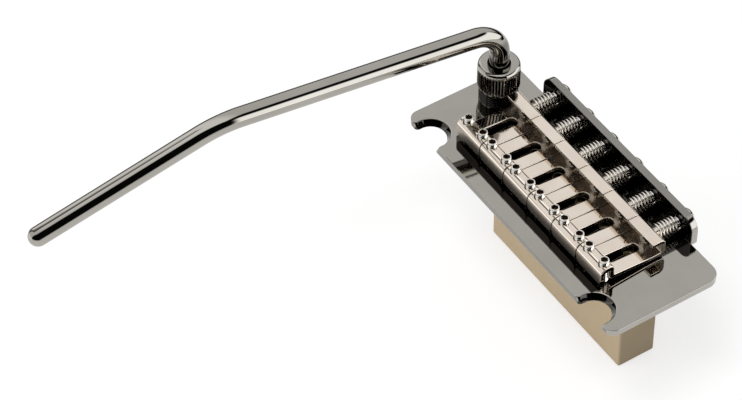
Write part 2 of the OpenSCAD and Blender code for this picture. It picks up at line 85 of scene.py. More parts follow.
BLOCK_SCREW_R, BLOCK_SCREW_LOW_Z, BLOCK_HEAD_R, BLOCK_CROSS_L = 2.0, -14.0, 3.47, 4.0
BLOCK_SCREW_PITCH, BLOCK_SCREW_THREAD = 0.7, 0.3
ARM_X, ARM_Y, ARM_R, ARM_LOW_Z = -38.8, 23.0, 2.75, -9.0
ELBOW_Z, ELBOW_R, ARM_RISE, ARM_OUT, ARM_L = 26.2, 7.8, 0.7, 7.6, 80.6
ARM_TURN, ARM_TURN_R, HANDLE_L, ARM_CHAMFER = 20.0, 35.0, 54.3, 0.6
COLLAR_R, COLLAR_LOW_Z, COLLAR_TOP_Z, COLLAR_HOLE_R = 5.85, 6.2, 14.5, 3.1
COLLAR_BORE_R, COLLAR_ROOF, SHOULDER_R, KNURL_TEETH, KNURL_DEEP = 4.85, 2.5, 1.15, 44, 0.34
BUSH_R, BUSH_BORE_R, NECK_R, BUSH_LOW_Z, BUSH_TOP_Z = 4.8, 3.7, 5.35, -8.0, 11.2
NECK_RINGS, RING_PITCH, NECK_TOP_Z = 5, 0.75, 6.05
SLEEVE_IN_R, SLEEVE_OUT_R = 2.8, 3.65
NUT_R, NUT_LOW_Z, WASHER_LOW_Z = 7.0, -4.8, -0.8

# Where the photograph was taken from: degrees, the lens and the picture's width in pixels, the sensor's
# width in millimetres, and the place in metres
CAMERA_TURN, CAMERA_RISE, CAMERA_ROLL = 57.160, 46.990, -0.558
FOCAL_PIXELS, PHOTO_PIXELS, SENSOR = 3235.332, 742, 36
CAMERA_PLACE = (0.456913, -0.337872, 0.617528)


def string_x(k):
    """Place of string k along the row, counted from 1."""
    return (k - (STRINGS + 1) / 2) * STRING_PITCH


def bore_x(k):
    """Place of the block's string hole k along the row, counted from 1."""
    return (k - (STRINGS + 1) / 2) * BLOCK_PITCH


# Outlines in a plane
def arc(centre, radius, start, end, steps):
    """Points of a circle's arc: the centre plus the radius times cosine and sine of an angle that goes
    evenly from start to end, in degrees."""
    angle = np.radians(np.linspace(start, end, steps + 1))
    return np.array(centre) + radius * np.stack([np.cos(angle), np.sin(angle)], 1)


def circle(centre, radius, steps=48):
    """A whole circle, once round, without its first point again."""
    return arc(centre, radius, 0, 360, steps)[:-1]


def rounded_box(x0, x1, y0, y1, low_r, high_r, steps=8):
    """Rectangle with one corner radius at its low side and one at its high side, once round."""
    return np.concatenate([
        arc((x0 + low_r, y0 + low_r), low_r, 180, 270, steps),
        arc((x1 - low_r, y0 + low_r), low_r, 270, 360, steps),
        arc((x1 - high_r, y1 - high_r), high_r, 0, 90, steps),
        arc((x0 + high_r, y1 - high_r), high_r, 90, 180, steps),
    ])


def outward(loop):
    """Unit normals of a closed outline that runs anticlockwise: at each point the mean direction of its
    two sides, turned right. A clockwise outline gets normals that point into its hole."""
    ahead = np.roll(loop, -1, 0) - loop
    ahead /= np.maximum(np.linalg.norm(ahead, axis=1, keepdims=True), 1e-9)
    mean = ahead + np.roll(ahead, 1, 0)
    mean /= np.maximum(np.linalg.norm(mean, axis=1, keepdims=True), 1e-9)
    return np.stack([mean[:, 1], -mean[:, 0]], 1)


# Shells
class Shell:
    """Patches of one piece: arrays of points and the faces between them, each smooth or flat."""

    def __init__(self):
        self.points, self.faces, self.smooth, self.count = [], [], [], 0

    def add(self, points, faces, smooth=True):
        """One more patch. Its faces count its own points from nothing."""
        points = np.asarray(points, float).reshape(-1, 3)
        self.points.append(points)
        self.faces += [tuple(int(i) + self.count for i in face) for face in faces]
        self.smooth += [smooth] * len(faces)
        self.count += len(points)

    def rings(self, rings, looped=False, turned=False):
        """Quads between closed rows of points: row i and row i + 1, point j and point j + 1."""
        rings = np.asarray(rings, float)
        rows, sides = rings.shape[:2]
        i = np.arange(rows if looped else rows - 1)[:, None]
        j = np.arange(sides)[None, :]
        a, b = i * sides + j, i * sides + (j + 1) % sides
        c, d = (i + 1) % rows * sides + (j + 1) % sides, (i + 1) % rows * sides + j
        quads = np.stack([a, b, c, d], -1).reshape(-1, 4)
        self.add(rings, quads[:, ::-1] if turned else quads)

    def fan(self, ring, middle, turned=False, smooth=True):
        """Triangles from a middle point to a closed row of points."""
        ring = np.asarray(ring, float)
        n = len(ring)
        j = np.arange(n)
        faces = np.stack([j, (j + 1) % n, np.full(n, n)], 1)
        self.add(np.vstack([ring, middle]), faces[:, ::-1] if turned else faces, smooth)

    def cap(self, loops, place, turned=False):
        """Flat face inside the first outline and outside the others, put in place by a function."""
        flat = [[Vector((p[0], p[1], 0)) for p in loop] for loop in loops]
        points = np.concatenate(loops)
        faces = []
        for a, b, c in tessellate_polygon(flat):
            (ax, ay), (bx, by), (cx, cy) = points[a], points[b], points[c]
            area = (bx - ax) * (cy - ay) - (by - ay) * (cx - ax)
            if abs(area) > 1e-12:
                faces.append((a, b, c) if (area > 0) != turned else (a, c, b))
        self.add(place(points), faces, smooth=False)

    def mesh(self, name, sharp=35):
        """One closed mesh in metres: the patches joined where their edges meet."""
        data = bpy.data.meshes.new(name)
        data.from_pydata((np.concatenate(self.points) * MM).tolist(), [], self.faces)
        data.polygons.foreach_set("use_smooth", np.array(self.smooth, bool))
        work = bmesh.new()
        work.from_mesh(data)
        bmesh.ops.remove_doubles(work, verts=work.verts, dist=2e-7)
        bmesh.ops.dissolve_degenerate(work, edges=work.edges, dist=1e-8)
        work.to_mesh(data)
        work.free()
        return shade(data, sharp)


def shade(data, sharp=35):
    """Sets sharp edges by angle and keeps flat faces flat, so that they mirror without bending."""
    smooth = np.empty(len(data.polygons), bool)
    data.polygons.foreach_get("use_smooth", smooth)
    data.set_sharp_from_angle(angle=math.radians(sharp))
    data.polygons.foreach_set("use_smooth", smooth)
    data.update()
    return data


def piece(name, data, body, finish, slot, *nodes):
    """Puts a mesh into the scene as a piece that rides on a body and stands for CAD nodes."""
    thing = bpy.data.objects.new(name, data)
    bpy.context.scene.collection.objects.link(thing)
    data.materials.clear()
    data.materials.append(finish)
    if body:
        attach(thing, body)
    if nodes:
        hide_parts(*nodes)
    return thing


def rim_levels(low, high, round_low, round_high, steps=4):
    """Insets and levels of a wall with rounded rims. The inset is the radius times one minus the sine of
    an angle, while the level moves by the radius times one minus its cosine."""
    tilt = np.radians(np.linspace(0, 90, steps + 1))
    levels = [(round_low * (1 - math.sin(t)), low + round_low * (1 - math.cos(t))) for t in tilt]
    levels += [(round_high * (1 - math.sin(t)), high - round_high * (1 - math.cos(t))) for t in tilt[::-1]]
    return levels


def raised(points, height):
    """Points of the plan at one height."""
    return np.column_stack([points, np.full(len(points), height)])


def slab(shell, loops, low, high, round_low, round_high, place, level_loop=None):
    """Plate between two levels with rounded rims. The first outline is the outer one, and where
    level_loop is given, it is worked out anew at each level."""
    levels = rim_levels(low, high, round_low, round_high)
    drawn = []
    for number, loop in enumerate(loops):
        rows = []
        for inset, level in levels:
            here = level_loop(level) if level_loop and number == 0 else loop
            rows.append(raised(here - outward(here) * inset, level))
        rows = np.array(rows)
        drawn.append(rows)
        shell.rings(place(rows.reshape(-1, 3)).reshape(rows.shape))
    shell.cap([rows[0][:, :2] for rows in drawn], lambda p: place(raised(p, low)), turned=True)
    shell.cap([rows[-1][:, :2] for rows in drawn], lambda p: place(raised(p, high)))


def lathe(shell, profile, place, sides=64, looped=False, wave=None):
    """Surface of revolution: each point of the profile gives a ring of its radius at its height. The
    wave, a function of angle, height and radius, is added to the radius."""
    angle = evenly_round(sides)[None, :]
    profile = np.asarray(profile, float)
    radius = np.repeat(profile[:, :1], sides, 1)
    height = np.repeat(profile[:, 1:2], sides, 1)
    if wave:
        radius = radius + wave(angle, height, radius)
    rings = place(np.stack([radius * np.cos(angle), radius * np.sin(angle), height], -1).reshape(-1, 3))
    rings = rings.reshape(len(profile), sides, 3)
    shell.rings(rings, looped=looped)
    return rings


def upright(x, y):
    """Places a shape whose axis is Z at a spot of the plan."""
    return lambda p: p + np.array([x, y, 0.0])


def rearward(x, z):
    """Places a shape whose axis is Z so that the axis points to the rear, at a spot of the front view."""
    return lambda p: np.stack([x + p[:, 0], p[:, 2], z - p[:, 1]], 1)


def on_axis(place, height):
    """Point of a placed shape's axis at a height."""
    return place(np.array([[0.0, 0.0, height]]))[0]


def evenly_round(sides):
    """Angles of a whole turn, in radians, without the last one again."""
    return np.linspace(0, 2 * np.pi, sides, endpoint=False)


# Shader maths
class Socket:
    """One output of a node, on which sums, products and differences add Math nodes."""

    def __init__(self, nodes, output):
        self.nodes, self.output = nodes, output

    def _math(self, operation, *values):
        """A Math node of an operation on this and other values."""
        return self.nodes.add("ShaderNodeMath", {"operation": operation}, dict(enumerate(values)))

    def __add__(self, other):
        return self._math("ADD", self, other)

    def __radd__(self, other):
        return self._math("ADD", other, self)

    def __sub__(self, other):
        return self._math("SUBTRACT", self, other)

    def __rsub__(self, other):
        return self._math("SUBTRACT", other, self)

    def __mul__(self, other):
        return self._math("MULTIPLY", self, other)

    def __pow__(self, other):
        return self._math("POWER", self, other)

    def clamp(self):
        """The value kept between nothing and one."""
        return self.nodes.add("ShaderNodeClamp", {}, {"Value": self})

    def size(self):
        """The value without its sign."""
        return self._math("ABSOLUTE", self)

    def ramp(self, low, high):
        """Nothing below the first limit, one above the second and a smooth step between."""
        return self.nodes.add("ShaderNodeMapRange", {"interpolation_type": "SMOOTHSTEP"},
                              {"Value": self, "From Min": low, "From Max": high})

    def fade(self, low, high):
        """One below the first limit, nothing above the second and a smooth step between."""
        return 1 - self.ramp(low, high)


class Nodes:
    """A node tree to which nodes are added by one method."""

    def __init__(self, tree, shader):
        self.tree, self.shader = tree, tree.nodes[shader]

    def add(self, kind, settings, inputs, output=0):
        """A new node with its settings and inputs, as the socket of one of its outputs."""
        node = self.tree.nodes.new(kind)
        for key, value in settings.items():
            setattr(node, key, value)
        for key, value in inputs.items():
            self.put(node.inputs[key], value)
        return Socket(self, node.outputs[output])

    def put(self, socket, value):
        """Links a socket into an input, or sets the input to a plain value."""
        if isinstance(value, Socket):
            self.tree.links.new(value.output, socket)
        else:
            socket.default_value = value

    def set(self, **values):
        """Inputs of the shader by name, with an underscore for each space."""
        for key, value in values.items():
            self.put(self.shader.inputs[key.replace("_", " ")], value)

    def place(self):
        """The shaded point in metres, in the frame of the whole bridge."""
        return self.add("ShaderNodeTexCoord", {}, {}, "Object")

    def millimetres(self):
        """X, Y and Z of the shaded point, in the unit of the sizes above."""
        return self.axes(self.stretched((1 / MM, 1 / MM, 1 / MM)))

    def axes(self, where):
        """X, Y and Z of a place or a direction."""
        parts = self.add("ShaderNodeSeparateXYZ", {}, {0: where})
        return tuple(Socket(self, parts.output.node.outputs[i]) for i in range(3))

    def path(self, ray):
        """One for rays of a kind, nothing for all others."""
        return self.add("ShaderNodeLightPath", {}, {}, ray)

    def stretched(self, scale):
        """The shaded point with each coordinate times its own factor."""
        return self.add("ShaderNodeMapping", {}, {"Vector": self.place(), "Scale": scale})

    def noise(self, scale, detail, where=None):
        """Cloudy noise between nothing and one, with so many waves in a metre."""
        return self.add("ShaderNodeTexNoise", {},
                        {"Vector": where or self.place(), "Scale": scale, "Detail": detail})

    def mix(self, factor, first, second):
        """Two colours mixed: all of the first at nothing, all of the second at one."""
        return self.add("ShaderNodeMix", {"data_type": "RGBA"}, {0: factor, 6: first, 7: second}, 2)

    def bump(self, height, distance, strength):
        """Normal of a surface that rises with a value, by a distance in metres at most."""
        return self.add("ShaderNodeBump", {},
                        {"Height": height, "Distance": distance, "Strength": strength})


class Finish(Nodes):
    """A material on one principled shader."""

    def __init__(self, name):
        self.material = bpy.data.materials.new(name)
        self.material.use_nodes = True
        super().__init__(self.material.node_tree, "Principled BSDF")


def dark_plating():
    """Polished dark chrome: a smoky metal with faint wiping marks and slow tone changes. Places where
    little light gets in, or that mirror their dark surroundings, are darkened: each is a product of
    smooth steps of X, Y, Z or the distance from an axis, in millimetres. They are the plate under the
    saddles, the wall's front and top edge, the bevels of the stud notches, the front edge, the bush's neck,
    the grooves of the collar, the arm's shaft and the underside of its first length."""
    f = Finish("dark_plating")
    cloud = f.noise(90.0, 3.0)
    wipe = f.noise(900.0, 4.0, f.stretched((1.0, 0.12, 1.0)))
    x, y, z = f.millimetres()
    side = x.size()
    stud = ((side - STUD_X) ** 2.0 + y ** 2.0) ** 0.5
    shaft = ((x - ARM_X) ** 2.0 + (y - ARM_Y) ** 2.0) ** 0.5
    off_plate = z.ramp(TOP_Z + 0.1, TOP_Z + 0.2)
    row_slant, row_start_y, row_start_x = 1.54, 2.1, -24.9
    row = (x + y * row_slant).ramp(row_start_x, row_start_x + 0.5)
    row = row * side.fade(WALL_HALF - 0.6, WALL_HALF - 0.2)
    row = row * y.ramp(row_start_y, row_start_y + 0.3) * y.fade(WALL_FRONT_Y - 0.1, WALL_FRONT_Y + 0.1)
    row = row * (1 - off_plate)
    front = side.fade(WALL_HALF - 0.2, WALL_HALF + 0.1) * y.ramp(WALL_FRONT_Y - 0.4, WALL_FRONT_Y - 0.2)
    front = front * y.fade(WALL_FRONT_Y + 0.2, WALL_FRONT_Y + 0.4)
    front = front * z.fade(WALL_TOP_Z - 0.25, WALL_TOP_Z - 0.05) * off_plate
    bevel = stud.fade(NOTCH_R + NOTCH_BEVEL - 0.05, NOTCH_R + NOTCH_BEVEL + 0.05)
    bevel = bevel * z.fade(TOP_Z - 0.15, TOP_Z - 0.05)
    neck = shaft.fade(COLLAR_R + 0.05, COLLAR_R + 0.25) * z.fade(COLLAR_LOW_Z - 0.2, COLLAR_LOW_Z)
    neck = neck * off_plate
    groove = shaft.fade(COLLAR_R - 0.15, COLLAR_R - 0.05) * shaft.ramp(COLLAR_R - 0.65, COLLAR_R - 0.55)
    groove = groove * z.ramp(COLLAR_LOW_Z + 0.8, COLLAR_LOW_Z + 1.1)
    groove = groove * z.fade(COLLAR_TOP_Z - 1.7, COLLAR_TOP_Z - 1.4)
    foot = shaft.fade(ARM_R + 0.15, ARM_R + 0.35) * z.ramp(COLLAR_TOP_Z - 0.7, COLLAR_TOP_Z)
    foot = foot * z.fade(ELBOW_Z - 3.7, ELBOW_Z - 1.7)
    belly = z.ramp(ELBOW_Z - 4.0, ELBOW_Z - 3.6) * z.fade(ELBOW_Z - 1.7, ELBOW_Z - 0.7)
    belly = belly * y.ramp(ARM_Y - 43.0, ARM_Y - 23.0) * y.fade(ARM_Y - 5.0, ARM_Y - 2.0)
    crest = z.ramp(WALL_TOP_Z - 0.25, WALL_TOP_Z - 0.05) * y.ramp(WALL_FRONT_Y - 0.3, WALL_FRONT_Y - 0.1)
    edge = y.fade(FRONT_Y + 0.1, FRONT_Y + 0.2) * z.fade(TOP_Z - 0.3, TOP_Z - 0.1)
    dimmed = row * 0.85 + front * 0.8 + bevel * 0.85 + neck * 0.92 + crest * 0.28 + edge * 0.35
    dimmed = (dimmed + groove * 0.85 + foot * 0.5 + belly * 0.6).clamp()
    tone = f.mix(cloud.ramp(0.35, 0.7), (0.395, 0.38, 0.348, 1), (0.37, 0.355, 0.323, 1))
    f.set(Base_Color=f.mix(dimmed, tone, (0.0, 0.0, 0.0, 1)), Metallic=1.0, Roughness=0.03 + wipe * 0.03)
    return f.material


def satin_nickel():
    """Warm satin nickel of the saddles: fine grain along the strings, a little uneven. Painted shade
    darkens the front lip and the place under the folded strip, which are also made rougher."""
    f = Finish("satin_nickel")
    cloud = f.noise(160.0, 4.0)
    grain = f.noise(5200.0, 3.0, f.stretched((1.0, 0.12, 1.0)))
    y, z = f.millimetres()[1:]
    # Painted shade under the folded strip, which is also made rougher
    under = y.ramp(HOOK_FRONT_Y - 2.3, HOOK_FRONT_Y - 0.8) * y.fade(SADDLE_BACK_Y - 0.2, SADDLE_BACK_Y)
    under = under * z.fade(STRIP_Z - 0.1, STRIP_Z + 0.1)
    # Painted shade on the front lip, which is also made rougher
    lip = y.fade(SADDLE_FRONT_Y + 0.2, SADDLE_FRONT_Y + 0.6) * z.fade(RIDGE_Z - 1.6, RIDGE_Z - 1.3)
    tone = f.mix(cloud.ramp(0.3, 0.75), (0.82, 0.735, 0.64, 1), (0.76, 0.675, 0.58, 1))
    # The dark colour mixed in here is the painted shade of the lip and of the place under the strip
    f.set(Base_Color=f.mix(under * 0.42 + lip * 0.55, tone, (0.07, 0.058, 0.05, 1)),
          Metallic=1.0, Roughness=0.045 + cloud * 0.04 + grain * 0.025 + under * 0.2 + lip * 0.3,
          Normal=f.bump(grain, 0.000002, 0.4))
    return f.material


def bright_nickel():
    """Bright nickel of the screws, with slightly cloudy gloss, and with painted shade that makes it darker
    and brownish in the sockets, which a value stored on the mesh marks."""
    f = Finish("bright_nickel")
    cloud = f.noise(700.0, 3.0)
    inside = f.add("ShaderNodeAttribute", {"attribute_name": "recess"}, {}, "Fac")
    tone = f.mix(cloud.ramp(0.3, 0.75), (0.86, 0.83, 0.78, 1), (0.74, 0.71, 0.66, 1))
    # Painted shade in the sockets: a dark brownish colour where the stored value is one
    f.set(Base_Color=f.mix(inside * 0.85, tone, (0.16, 0.09, 0.05, 1)),
          Metallic=1.0, Roughness=0.05 + cloud * 0.08 + inside * 0.2)
    return f.material


def spring_steel():
    """Plated spring wire: bright, but drawn and so less smooth than a turned screw."""
    f = Finish("spring_steel")
    cloud = f.noise(1500.0, 3.0)
    f.set(Base_Color=f.mix(cloud.ramp(0.3, 0.75), (0.9, 0.86, 0.8, 1), (0.78, 0.74, 0.68, 1)),
          Metallic=1.0, Roughness=0.09 + cloud * 0.06)
    return f.material


def sand_paint():
    """Matte sand-coloured paint of the block: a fine sprayed skin over cast metal."""
    f = Finish("sand_paint")
    cloud = f.noise(60.0, 4.0)
    spray = f.noise(1800.0, 3.0)
    f.set(Base_Color=f.mix(cloud.ramp(0.3, 0.75), (0.53, 0.415, 0.265, 1), (0.49, 0.38, 0.24, 1)),
          Roughness=0.5 + spray * 0.15, Normal=f.bump(spray, 0.00003, 0.35), Specular_IOR_Level=0.4)
    return f.material


def zinc():
    """Zinc-plated steel of the nut, the washer and the block's screws."""
    f = Finish("zinc")
    cloud = f.noise(420.0, 4.0)
    f.set(Base_Color=f.mix(cloud.ramp(0.3, 0.7), (0.62, 0.63, 0.64, 1), (0.48, 0.49, 0.5, 1)),
          Metallic=1.0, Roughness=0.24 + cloud * 0.18)
    return f.material


def nylon():
    """Natural nylon of the sleeve: off-white and softly matte."""
    f = Finish("nylon")
    cloud = f.noise(300.0, 3.0)
    f.set(Base_Color=f.mix(cloud, (0.74, 0.72, 0.66, 1), (0.66, 0.64, 0.58, 1)),
          Roughness=0.4 + cloud * 0.1)
    return f.material


dark = dark_plating()
satin = satin_nickel()
bright = bright_nickel()
wire = spring_steel()
paint = sand_paint()
steel = zinc()
plastic = nylon()


# Plate and wall
def plate_outline(level):
    """The plate's outline at a level: rounded corners, and two round notches whose radius grows evenly
    from the underside to the top face, with rounded mouths. The arcs that run into the straight front
    edge stop a few degrees short of it."""
    corner_short, mouth_short = 9, 1
    notch = NOTCH_R + NOTCH_BEVEL * level / TOP_Z
    mouth_y = FRONT_Y + MOUTH_R
    mouth_x = math.sqrt((notch + MOUTH_R) ** 2 - mouth_y ** 2)
    lean = math.degrees(math.atan2(-mouth_y, mouth_x))
    front_x, front_y = PLATE_HALF - FRONT_CORNER_R, FRONT_Y + FRONT_CORNER_R
    rear_x, rear_y = PLATE_HALF - REAR_CORNER_R, REAR_Y - REAR_CORNER_R
    rows = [arc((-front_x, front_y), FRONT_CORNER_R, 180, 270 - corner_short, 10)]
    for x in (-STUD_X, STUD_X):
        rows += [arc((x - mouth_x, mouth_y), MOUTH_R, mouth_short - 90, lean, 8),
                 arc((x, 0), notch, 180 + lean, -lean, 48)[1:-1],
                 arc((x + mouth_x, mouth_y), MOUTH_R, 180 - lean, 270 - mouth_short, 8)]
    rows += [arc((front_x, front_y), FRONT_CORNER_R, corner_short - 90, 0, 10),
             arc((rear_x, rear_y), REAR_CORNER_R, 0, 90, 12),
             arc((-rear_x, rear_y), REAR_CORNER_R, 90, 180, 12)]
    return np.concatenate(rows)


def cut(work, place, across, close):
    """Cuts all faces of a mesh along a plane through a place. Points closer than close count as on it."""
    bmesh.ops.bisect_plane(work, geom=work.verts[:] + work.edges[:] + work.faces[:], dist=close,
                           plane_co=place, plane_no=across)


def round_bend(data):
    """Rounds the wall's lower rear edge: the mesh is cut at even angles of the bend, and no point stays
    behind the quarter circle, whose distance follows from the height by the circle's equation."""
    work = bmesh.new()
    work.from_mesh(data)
    for angle in np.radians(np.linspace(0, 90, 10)):
        cut(work, (0, 0, WALL_BEND_R * (1 - math.cos(angle)) * MM), (0, 0, 1), 1e-7)
    bmesh.ops.triangulate(work, faces=[f for f in work.faces if len(f.verts) > 4])
    work.to_mesh(data)
    work.free()
    points = np.empty(len(data.vertices) * 3)
    data.vertices.foreach_get("co", points)
    points = points.reshape(-1, 3) / MM
    rise = np.clip(WALL_BEND_R - points[:, 2], 0, WALL_BEND_R)
    limit = WALL_BACK_Y - WALL_BEND_R + np.sqrt(WALL_BEND_R ** 2 - rise ** 2)
    points[:, 1] = np.where(rise > 0, np.minimum(points[:, 1], limit), points[:, 1])
    data.vertices.foreach_set("co", (points * MM).ravel())
    data.update()
    return shade(data)


def make_plate():
    """Plate with stud notches, string holes and screw holes, and the wall bent up at its rear edge."""
    shell = Shell()
    holes = [circle((bore_x(k), BORE_Y), PLATE_HOLE_R, 32)[::-1] for k in range(1, STRINGS + 1)]
    holes += [circle((x, BLOCK_SCREW_Y), BLOCK_HEAD_R + LOOSE, 40)[::-1] for x in BLOCK_SCREW_X]
    holes += [circle((ARM_X, ARM_Y), BUSH_R + LOOSE, 48)[::-1]]
    slab(shell, [plate_outline(TOP_Z)] + holes, 0.0, TOP_Z, PLATE_RIM_LOW, PLATE_RIM_HIGH,
         upright(0, 0), level_loop=plate_outline)
    piece("plate", shell.mesh("plate"), "bridge", dark, "dark_chrome", "base_plate")
    wall = Shell()
    outline = rounded_box(-WALL_HALF, WALL_HALF, 0.0, WALL_TOP_Z, WALL_FOOT_R, WALL_CORNER_R, 12)
    screws = [circle((string_x(k), AXIS_Z), WALL_HOLE_R, 32)[::-1] for k in range(1, STRINGS + 1)]
    slab(wall, [outline] + screws, -WALL_BACK_Y, -WALL_FRONT_Y, WALL_RIM, PLATE_RIM_HIGH,
         lambda p: np.stack([p[:, 0], -p[:, 2], p[:, 1]], 1))
    piece("rear_wall", round_bend(wall.mesh("rear_wall")), "bridge", dark, "dark_chrome")


# Saddles
# Points of the saddle's section, counted from the lip
RIDGE_POINT, FLOOR_START, FLOOR_END, BACK_LOW, BACK_HIGH = 13, 30, 31, 40, 41
HOOK_IN_R = HOOK_R - SHEET
BACK_LOW_Z, BACK_HIGH_Z = FLOOR_Z + HOOK_IN_R, STRIP_Z - HOOK_IN_R


def saddle_section():
    """Upper and lower face of the bent sheet, point by point from the lip to the hook's strip, as two
    rows of Y and Z that belong together."""
    slope = math.degrees(math.atan2(FLOOR_FRONT_Z - FLOOR_Z, HOOK_FRONT_Y - RIDGE_BACK_Y))
    nose = np.array([SADDLE_FRONT_Y + NOSE_R, RIDGE_Z - NOSE_R])
    ridge_back = (RIDGE_BACK_Y - RIDGE_BACK_R, RIDGE_Z - RIDGE_BACK_R)
    back_low, back_high = ((SADDLE_BACK_Y - HOOK_R, z) for z in (BACK_LOW_Z, BACK_HIGH_Z))
    under_y, under_z = RIDGE_BACK_Y - SHEET, RIDGE_Z - RIDGE_SHEET
    upper = [[[SADDLE_FRONT_Y, LIP_Z]],
             arc(nose, NOSE_R, 180, 90, 12),
             arc(ridge_back, RIDGE_BACK_R, 90, 0, 9),
             arc((RIDGE_BACK_Y + FLOOR_BEND_R, FLOOR_BEND_Z), FLOOR_BEND_R, 180, 270 - slope, 6),
             [[HOOK_FRONT_Y, FLOOR_Z]],
             arc(back_low, HOOK_IN_R, -90, 0, 8),
             arc(back_high, HOOK_IN_R, 0, 90, 8),
             [[HOOK_FRONT_Y, STRIP_Z]]]
    lower = [[[SADDLE_FRONT_Y + SHEET, LIP_Z]],
             nose + arc((0, 0), 1, 180, 90, 12) * [NOSE_R - SHEET, NOSE_R - RIDGE_SHEET],
             arc((under_y - UNDER_RIDGE_R, under_z - UNDER_RIDGE_R), UNDER_RIDGE_R, 90, 0, 9),
             arc((under_y + UNDER_FLOOR_R, UNDER_FLOOR_Z), UNDER_FLOOR_R, 180, 270 - slope, 6),
             [[HOOK_FRONT_Y, FLOOR_Z - SHEET]],
             arc(back_low, HOOK_R, -90, 0, 8),
             arc(back_high, HOOK_R, 0, 90, 8),
             [[HOOK_FRONT_Y, STRIP_Z + SHEET]]]
    return np.concatenate(upper), np.concatenate(lower)


def folded(points, turned, along, upper, lower):
    """Folds a flat blank: a point goes to the mean of the upper and lower face at its distance along the
    sheet, weighted by its depth. Normals turn with the sheet's direction there, so flat areas stay
    flat."""
    s, share = np.clip(points[:, 1], 0, along[-1]), points[:, 2:3] / SHEET

    def face_at(distance, table):
        """Place on one face of the sheet at a distance along it."""
        return np.stack([np.interp(distance, along, table[:, i]) for i in (0, 1)], 1)

    def between(distance):
        """Place in the sheet at a distance along it and at each point's own depth."""
        return face_at(distance, upper) * (1 - share) + face_at(distance, lower) * share

    step = 0.02
    run = between(np.clip(s + step, 0, along[-1])) - between(np.clip(s - step, 0, along[-1]))
    run /= np.maximum(np.linalg.norm(run, axis=1, keepdims=True), 1e-9)
    up = np.stack([-run[:, 1], run[:, 0]], 1)
    normals = np.column_stack([turned[:, 0], run * turned[:, 1:2] + up * turned[:, 2:3]])
    normals /= np.maximum(np.linalg.norm(normals, axis=1, keepdims=True), 1e-9)
    return np.column_stack([points[:, 0], between(s)]), normals


def saddle_blank(along, upper):
    """Outlines of the flat blank, its slot and its holes, each with the radius of its rims. The slot lies
    in the floor, the height screws' holes in the ridge and the long screw's hole in the back."""
    def at_floor(y):
        """Distance along the sheet of a place on the sloping floor."""
        rows = slice(FLOOR_START, FLOOR_END + 1)
        return float(np.interp(y, upper[rows, 0], along[rows]))

    blank = rounded_box(-SADDLE_HALF, SADDLE_HALF, 0.0, along[-1], LIP_CORNER_R, STRIP_CORNER_R)
    slot_low, slot_high = at_floor(SLOT_FRONT_Y) + SLOT_HALF, at_floor(SLOT_BACK_Y) - SLOT_HALF
    slot = np.concatenate([arc((0, slot_high), SLOT_HALF, 0, 180, 16),
                           arc((0, slot_low), SLOT_HALF, 180, 360, 16)])
    ridge = float(along[RIDGE_POINT] + HEIGHT_Y - SADDLE_FRONT_Y - NOSE_R)
    share = (AXIS_Z - BACK_LOW_Z) / (BACK_HIGH_Z - BACK_LOW_Z)
    back = float(along[BACK_LOW] + share * (along[BACK_HIGH] - along[BACK_LOW]))
    pins = [circle((side * HEIGHT_X, ridge), HEIGHT_R + LOOSE, 28)[::-1] for side in (-1, 1)]
    return [(blank, BLANK_RIM), (slot[::-1], SLOT_RIM), (pins[0], PIN_RIM), (pins[1], PIN_RIM),
            (circle((0, back), SCREW_R + LOOSE, 28)[::-1], SCREW_RIM)]


def saddle_mesh():
    """A flat blank with its slot and holes, cut into strips at every bend and then folded."""
    upper, lower = saddle_section()
    step = np.linalg.norm(np.diff(upper, axis=0), axis=1) + np.linalg.norm(np.diff(lower, axis=0), axis=1)
    along = np.concatenate([[0], np.cumsum(step / 2)])
    work = bmesh.new()
    layer = work.verts.layers.float_vector.new("turned")
    tilt = np.radians(np.linspace(0, 90, 5))
    turns = [(math.sin(t), math.cos(t)) for t in tilt] + [(math.sin(t), -math.cos(t)) for t in tilt[::-1]]
    rims = []
    for loop, rim in saddle_blank(along, upper):
        out = outward(loop)
        rows = []
        for (inset, depth), (side, up) in zip(rim_levels(0.0, SHEET, rim, rim), turns):
            row = []
            for (x, s), (nx, ns) in zip(loop - out * inset, out):
                vertex = work.verts.new((x, s, depth))
                vertex[layer] = (nx * side, ns * side, up)
                row.append(vertex)
            rows.append(row)
        for first, second in zip(rows, rows[1:]):
            n = len(first)
            for j in range(n):
                work.faces.new((first[j], first[(j + 1) % n], second[(j + 1) % n], second[j]))
        rims.append((rows[0], rows[-1]))
    for side in (0, 1):
        ring = [v for rim in rims for v in rim[side]]
        for a, b, c in tessellate_polygon([[v.co.copy() for v in rim[side]] for rim in rims]):
            work.faces.new((ring[a], ring[b], ring[c]))
    for s in [*along[1:-1], *np.linspace(along[FLOOR_START], along[FLOOR_END], 9)[1:-1]]:
        cut(work, (0, s, 0), (0, 1, 0), 1e-5)
    bmesh.ops.triangulate(work, faces=[f for f in work.faces if len(f.verts) > 4])
    flat = np.array([v.co for v in work.verts])
    turned = np.array([v[layer] for v in work.verts])
    data = bpy.data.meshes.new("saddle")
    work.to_mesh(data)
    work.free()
    points, normals = folded(flat, turned, along, upper, lower)
    data.vertices.foreach_set("co", (points * MM).ravel())
    data.update()
    work = bmesh.new()
    work.from_mesh(data)
    bmesh.ops.recalc_face_normals(work, faces=work.faces)
    work.to_mesh(data)
    work.free()
    return data, points, normals


def make_saddles():
    """Six saddles, the same sheet at each string's place."""
    base, points, normals = saddle_mesh()
    for k in range(1, STRINGS + 1):
        data = base.copy()
        moved = (points + [string_x(k), 0, 0]) * MM
        data.vertices.foreach_set("co", moved.ravel())
        data.polygons.foreach_set("use_smooth", np.ones(len(data.polygons), bool))
        data.update()
        data.normals_split_custom_set_from_vertices(normals.tolist())
        piece(f"saddle_sheet_{k}", data, f"saddle_{k}", satin, "satin_nickel", f"saddle_{k}")
    bpy.data.meshes.remove(base)


